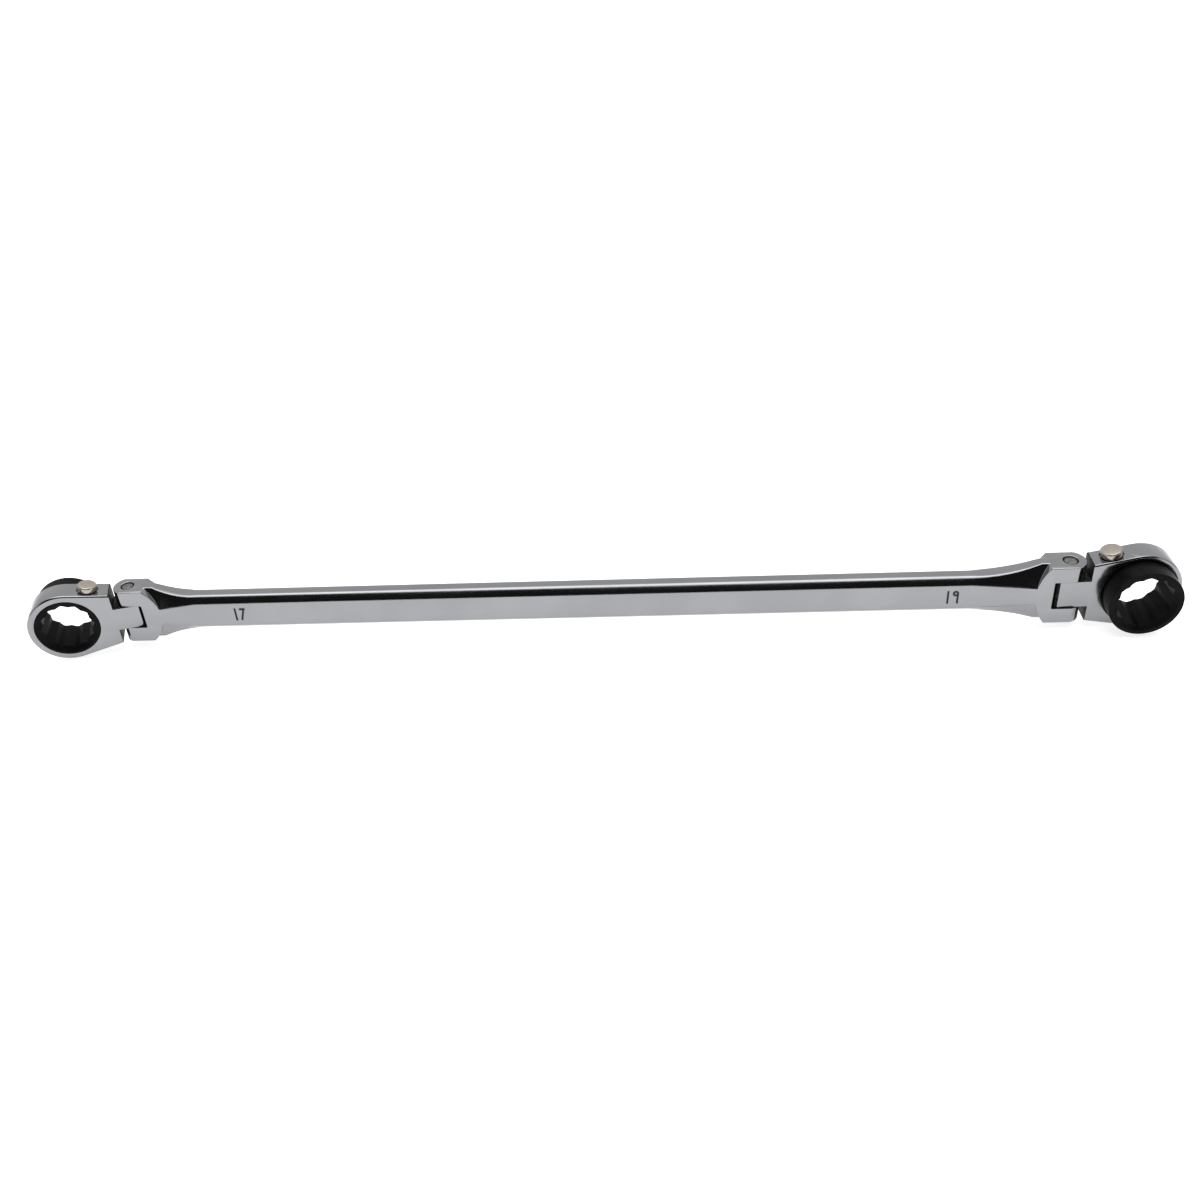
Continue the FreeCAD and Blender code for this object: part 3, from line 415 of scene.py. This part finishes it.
def pin_material(size):
    """Ground pin, brownish, with a painted shade line round its end."""
    t = Tree(f"pin_steel_{size}")
    pivot = Vector(joint(f"flex_{size}")["pos_m"])
    x, y, _ = t.split(t.coords)
    across = t.maths("SUBTRACT", x, pivot.x)
    deep = t.maths("SUBTRACT", y, pivot.y)
    reach = t.length(across, deep)
    low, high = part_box(f"pivot_pin_{size}")
    radius = (high[0] - low[0]) / 2
    rim_shade = t.ramp(reach, radius - RIM_SHADE_BAND[0], radius - RIM_SHADE_BAND[1])
    grain = t.noise(t.coords, 1700.0, 4.0, 0.6)
    cloud = t.noise(t.coords, 600.0, 3.0)
    colour = t.mix_colour(t.ramp(cloud, 0.35, 0.7), rgb(0.20, 0.185, 0.185),
                          rgb(0.11, 0.10, 0.098))
    # painted shade: a dark line round the pin's end
    colour = t.mix_colour(rim_shade, colour, rgb(0.006, 0.005, 0.005))
    roughness = t.ramp(grain, 0.3, 0.7, 0.30, 0.48)
    return t.finish(colour, roughness, 1.0, t.bump(grain, 0.1, 0.02 * BUMP_SCALE))


# ---------------------------------------------------------------- edges of the CAD nodes


def mesh_group(name):
    """A geometry node group that takes a mesh and gives a mesh."""
    group = bpy.data.node_groups.new(name, "GeometryNodeTree")
    for side in ("INPUT", "OUTPUT"):
        group.interface.new_socket("Geometry", in_out=side, socket_type="NodeSocketGeometry")
    return group, group.nodes.new("NodeGroupInput"), group.nodes.new("NodeGroupOutput")


def over_angle(group, limit):
    """Selects the edges whose two faces meet at more than `limit` degrees."""
    angle = group.nodes.new("GeometryNodeInputMeshEdgeAngle")
    over = group.nodes.new("FunctionNodeCompare")
    over.data_type, over.operation = "FLOAT", "GREATER_THAN"
    over.inputs["B"].default_value = math.radians(limit)
    group.links.new(angle.outputs["Unsigned Angle"], over.inputs["A"])
    return over.outputs["Result"]


def shade_group(limit):
    """Shades a mesh smooth and keeps its edges over `limit` degrees crisp."""
    group, start, stop = mesh_group(f"crisp_over_{limit}")
    faces = group.nodes.new("GeometryNodeSetShadeSmooth")
    faces.domain = "FACE"
    edges = group.nodes.new("GeometryNodeSetShadeSmooth")
    edges.domain = "EDGE"
    edges.inputs["Shade Smooth"].default_value = False
    group.links.new(start.outputs[0], faces.inputs["Geometry"])
    group.links.new(faces.outputs[0], edges.inputs["Geometry"])
    group.links.new(over_angle(group, limit), edges.inputs["Selection"])
    group.links.new(edges.outputs[0], stop.inputs[0])
    return group


def engraving_box(group):
    """Selects what lies inside the engraved numbers, just under the front flat."""
    position = group.nodes.new("GeometryNodeInputPosition")
    parts = group.nodes.new("ShaderNodeSeparateXYZ")
    group.links.new(position.outputs[0], parts.inputs[0])

    def maths(operation, first, second):
        made = group.nodes.new("ShaderNodeMath")
        made.operation = operation
        for socket, source in zip(made.inputs, (first, second)):
            if hasattr(source, "links"):
                group.links.new(source, socket)
            else:
                socket.default_value = source
        return made.outputs[0]

    along = maths("ABSOLUTE", parts.outputs[0], 0.0)
    middle = sum(abs(centre) for centre in DIGIT_CENTRES) / len(DIGIT_CENTRES)
    beside = maths("ABSOLUTE", maths("SUBTRACT", along, middle), 0.0)
    near = maths("LESS_THAN", beside, DIGIT_HALF_WIDTH + 1.0 * MM)
    level = maths("LESS_THAN", maths("ABSOLUTE", parts.outputs[2], 0.0), DIGIT_HALF_HEIGHT)
    front = maths("LESS_THAN", parts.outputs[1], ENGRAVING_DEEPEST)
    return maths("MULTIPLY", maths("MULTIPLY", near, level), front)


def weight_group(limit):
    """Gives every edge over `limit` degrees a bevel weight, apart from the engraving's."""
    group, start, stop = mesh_group(f"round_over_{limit}")
    pick = group.nodes.new("FunctionNodeBooleanMath")
    pick.operation = "NIMPLY"
    group.links.new(over_angle(group, limit), pick.inputs[0])
    group.links.new(engraving_box(group), pick.inputs[1])
    store = group.nodes.new("GeometryNodeStoreNamedAttribute")
    store.data_type, store.domain = "FLOAT", "EDGE"
    store.inputs["Name"].default_value = "bevel_weight_edge"
    group.links.new(start.outputs[0], store.inputs["Geometry"])
    group.links.new(pick.outputs[0], store.inputs["Value"])
    group.links.new(store.outputs[0], stop.inputs[0])
    return group


CRISP_ANGLE = 28                 # in degrees
SHANK_CRISP_ANGLE = 17           # the shank's bevels flatten out to 20 degrees at the yokes
FLAT_ANGLE = 0.4                 # faces that meet at less than this count as one
WELD_DISTANCE = 0.002 * MM
LIMITS = (CRISP_ANGLE, SHANK_CRISP_ANGLE)
SHADE_GROUPS = {limit: shade_group(limit) for limit in LIMITS}
WEIGHT_GROUPS = {limit: weight_group(limit) for limit in LIMITS}


def soften(node, width, limit):
    """Join a CAD mesh's seams and triangles, round its sharp edges and shade it by angle."""
    weld = node.modifiers.new("weld", "WELD")
    weld.merge_threshold = WELD_DISTANCE
    if width:
        flatten = node.modifiers.new("join_triangles", "DECIMATE")
        flatten.decimate_type = "DISSOLVE"
        flatten.angle_limit = math.radians(FLAT_ANGLE)
        weigh = node.modifiers.new("weigh", "NODES")
        weigh.node_group = WEIGHT_GROUPS[limit]
        bevel = node.modifiers.new("round", "BEVEL")
        bevel.width = width
        bevel.segments = 3
        bevel.limit_method = "WEIGHT"
        bevel.use_clamp_overlap = False
        bevel.miter_outer = "MITER_ARC"
    shade = node.modifiers.new("shade", "NODES")
    shade.node_group = SHADE_GROUPS[limit]


def dress(name, material, width, limit=CRISP_ANGLE):
    node = frame["nodes"][name]
    node.data.materials.clear()
    node.data.materials.append(material)
    soften(node, width, limit)


def dress_all():
    ground = plain_steel_material("ground_steel", rgb(0.16, 0.155, 0.15),
                                  rgb(0.24, 0.235, 0.23), 0.28)
    spring = plain_steel_material("spring_steel", rgb(0.30, 0.30, 0.31),
                                  rgb(0.42, 0.42, 0.44), 0.25)
    clip = plain_steel_material("clip_steel", rgb(0.022, 0.022, 0.024),
                                rgb(0.050, 0.050, 0.054), 0.32)
    tool = plain_steel_material("tool_steel", rgb(0.16, 0.16, 0.17),
                                rgb(0.26, 0.26, 0.27), 0.30)
    dress("shank", shank_material(), 0.30 * MM, SHANK_CRISP_ANGLE)
    for size in SIZES:
        dress(f"head_housing_{size}", housing_material(size), 0.10 * MM)
        dress(f"drive_ring_{size}", black_steel_material(size), 0.0)
        dress(f"release_button_{size}", nickel_material(size), 0.12 * MM)
        dress(f"pivot_pin_{size}", pin_material(size), 0.25 * MM)
        dress(f"pawl_{size}", tool, 0.0)
        for name in ("release_pin", "flex_plunger"):
            dress(f"{name}_{size}", ground, 0.0)
        for name in ("pawl_spring", "button_spring", "flex_spring"):
            dress(f"{name}_{size}", spring, 0.0)
        dress(f"retaining_clip_{size}", clip, 0.08 * MM)


def press_spring(name, size):
    """Give a spring its own copy of its mesh; the spring is not shortened here."""
    spring = frame["nodes"][f"{name}_{size}"]
    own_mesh(spring)


def press_springs():
    for size in SIZES:
        press_spring("button_spring", size)
        press_spring("pawl_spring", size)


# ---------------------------------------------------------------- stage, light and camera

FLOOR_HALF = 4.0
FLOOR_WHITE = 0.60
TABLE_GLOW = 1.35                # the table is lit from below, so shadows on it stay faint
FRONT_FADE = (-0.80, -0.28)      # the glow fades out in front of the wrench, along Y
REAR_FADE = (0.02, 0.12)         # and behind it, where only reflections see the fade
REAR_GLOW = 0.30


def make_floor():
    low = cad_box[0][2]
    mesh = bpy.data.meshes.new("floor")
    far = FLOOR_HALF
    corners = [(-far, -far, low), (far, -far, low), (far, far, low), (-far, far, low)]
    mesh.from_pydata(corners, [], [(0, 1, 2, 3)])
    floor = bpy.data.objects.new("floor", mesh)
    bpy.context.scene.collection.objects.link(floor)
    t = Tree("floor_white")
    tone = t.ramp(t.noise(t.coords, 3.0), 0.3, 0.7, FLOOR_WHITE - 0.01, FLOOR_WHITE)
    colour = t.node("ShaderNodeCombineColor")
    for channel in range(3):
        t.link(tone, colour.inputs[channel])
    along = t.split(t.coords)[1]
    seen = t.node("ShaderNodeLightPath").outputs["Is Camera Ray"]
    rear = t.ramp(along, *REAR_FADE, TABLE_GLOW, REAR_GLOW)
    lit = t.maths("MULTIPLY", rear, t.ramp(along, *FRONT_FADE))
    glow = t.mix_value(seen, lit, TABLE_GLOW)
    floor.data.materials.append(t.finish(colour.outputs[0], 0.9, 0.0, glow=glow))


# studio dome: brightness at a few heights above the horizon, in degrees
DOME_FRONT = ((0, 0.02), (57, 0.02), (63, 3.0), (90, 3.0))
DOME_REAR = ((0, 0.9), (45, 0.9), (60, 3.0), (90, 3.0))
DOME_ENDS = (0.60, 0.80)         # past this share of X the dome is only as bright as END_LEVEL
END_LEVEL = 0.80
FRONT_TO_REAR = 0.12             # the front ramp gives way to the rear one over this much of Y
BACKDROP = 1.5                   # brightness of the dome where the camera sees it directly


def dome_ramp(tree, height, stops):
    ramp = tree.nodes.new("ShaderNodeValToRGB")
    ramp.color_ramp.interpolation = "EASE"
    elements = ramp.color_ramp.elements
    while len(elements) > 1:
        elements.remove(elements[-1])
    peak = max(level for _, level in stops)
    for index, (degrees, level) in enumerate(stops):
        place = math.sin(math.radians(degrees))
        element = elements[0] if index == 0 else elements.new(place)
        element.position = place
        element.color = (level / peak,) * 3 + (1.0,)
    tree.links.new(height, ramp.inputs["Fac"])
    gain = tree.nodes.new("ShaderNodeVectorMath")
    gain.operation = "SCALE"
    gain.inputs["Scale"].default_value = peak
    tree.links.new(ramp.outputs["Color"], gain.inputs[0])
    return gain.outputs[0]


def make_dome():
    """A soft studio dome: bright overhead, a dark band high in front, grey behind."""
    world = bpy.data.worlds.new("studio_dome")
    bpy.context.scene.world = world
    world.use_nodes = True
    tree = world.node_tree
    tree.nodes.clear()
    coords = tree.nodes.new("ShaderNodeTexCoord")
    parts = tree.nodes.new("ShaderNodeSeparateXYZ")
    tree.links.new(coords.outputs["Generated"], parts.inputs[0])
    height = parts.outputs[2]
    side = tree.nodes.new("ShaderNodeMapRange")
    side.interpolation_type = "SMOOTHSTEP"
    side.inputs["From Min"].default_value = -FRONT_TO_REAR
    side.inputs["From Max"].default_value = FRONT_TO_REAR
    tree.links.new(parts.outputs[1], side.inputs["Value"])
    mix = tree.nodes.new("ShaderNodeMix")
    mix.data_type = "RGBA"
    tree.links.new(side.outputs["Result"], mix.inputs[0])
    tree.links.new(dome_ramp(tree, height, DOME_FRONT), mix.inputs[6])
    tree.links.new(dome_ramp(tree, height, DOME_REAR), mix.inputs[7])
    outward = tree.nodes.new("ShaderNodeMath")
    outward.operation = "ABSOLUTE"
    tree.links.new(parts.outputs[0], outward.inputs[0])
    ends = tree.nodes.new("ShaderNodeMapRange")
    ends.interpolation_type = "SMOOTHSTEP"
    ends.inputs["From Min"].default_value, ends.inputs["From Max"].default_value = DOME_ENDS
    tree.links.new(outward.outputs[0], ends.inputs["Value"])
    dimmed = tree.nodes.new("ShaderNodeMix")
    dimmed.data_type = "RGBA"
    tree.links.new(ends.outputs["Result"], dimmed.inputs[0])
    tree.links.new(mix.outputs[2], dimmed.inputs[6])
    dimmed.inputs[7].default_value = rgb(END_LEVEL, END_LEVEL, END_LEVEL)
    seen = tree.nodes.new("ShaderNodeLightPath").outputs["Is Camera Ray"]
    backdrop = tree.nodes.new("ShaderNodeMix")
    backdrop.data_type = "RGBA"
    tree.links.new(seen, backdrop.inputs[0])
    tree.links.new(dimmed.outputs[2], backdrop.inputs[6])
    backdrop.inputs[7].default_value = rgb(BACKDROP, BACKDROP, BACKDROP)
    background = tree.nodes.new("ShaderNodeBackground")
    tree.links.new(backdrop.outputs[2], background.inputs["Color"])
    background.inputs["Strength"].default_value = 1.0
    output = tree.nodes.new("ShaderNodeOutputWorld")
    tree.links.new(background.outputs[0], output.inputs["Surface"])


# the camera looks along +Y from a little to the right, down on the wrench, slightly rolled
CAMERA_AZIMUTH = 4.34
CAMERA_ELEVATION = 35.47
CAMERA_ROLL = -3.91
CAMERA_DISTANCE = 496.3 * MM
CAMERA_TARGET = Vector((3.72, -4.5, -0.6)) * MM
FOCAL_RATIO = 1300 / 1200        # focal length over sensor width
SENSOR = 36.0


def make_camera():
    turn, lift, roll = (
        math.radians(a) for a in (CAMERA_AZIMUTH, CAMERA_ELEVATION, CAMERA_ROLL)
    )
    back = Vector((math.sin(turn) * math.cos(lift), -math.cos(turn) * math.cos(lift),
                   math.sin(lift)))
    right = (-back).cross(Vector((0, 0, 1))).normalized()
    up = right.cross(-back)
    rolled_right = right * math.cos(roll) + up * math.sin(roll)
    rolled_up = up * math.cos(roll) - right * math.sin(roll)
    data = bpy.data.cameras.new("camera")
    data.sensor_width = SENSOR
    data.lens = SENSOR * FOCAL_RATIO
    data.clip_start = 0.01
    data.clip_end = 50.0
    camera = bpy.data.objects.new("camera", data)
    axes = Matrix((rolled_right, rolled_up, back)).transposed().to_4x4()
    camera.matrix_world = Matrix.Translation(CAMERA_TARGET + back * CAMERA_DISTANCE) @ axes
    bpy.context.scene.collection.objects.link(camera)
    bpy.context.scene.camera = camera


dress_all()
press_springs()
make_floor()
make_dome()
make_camera()
bpy.context.scene.view_settings.view_transform = "Standard"
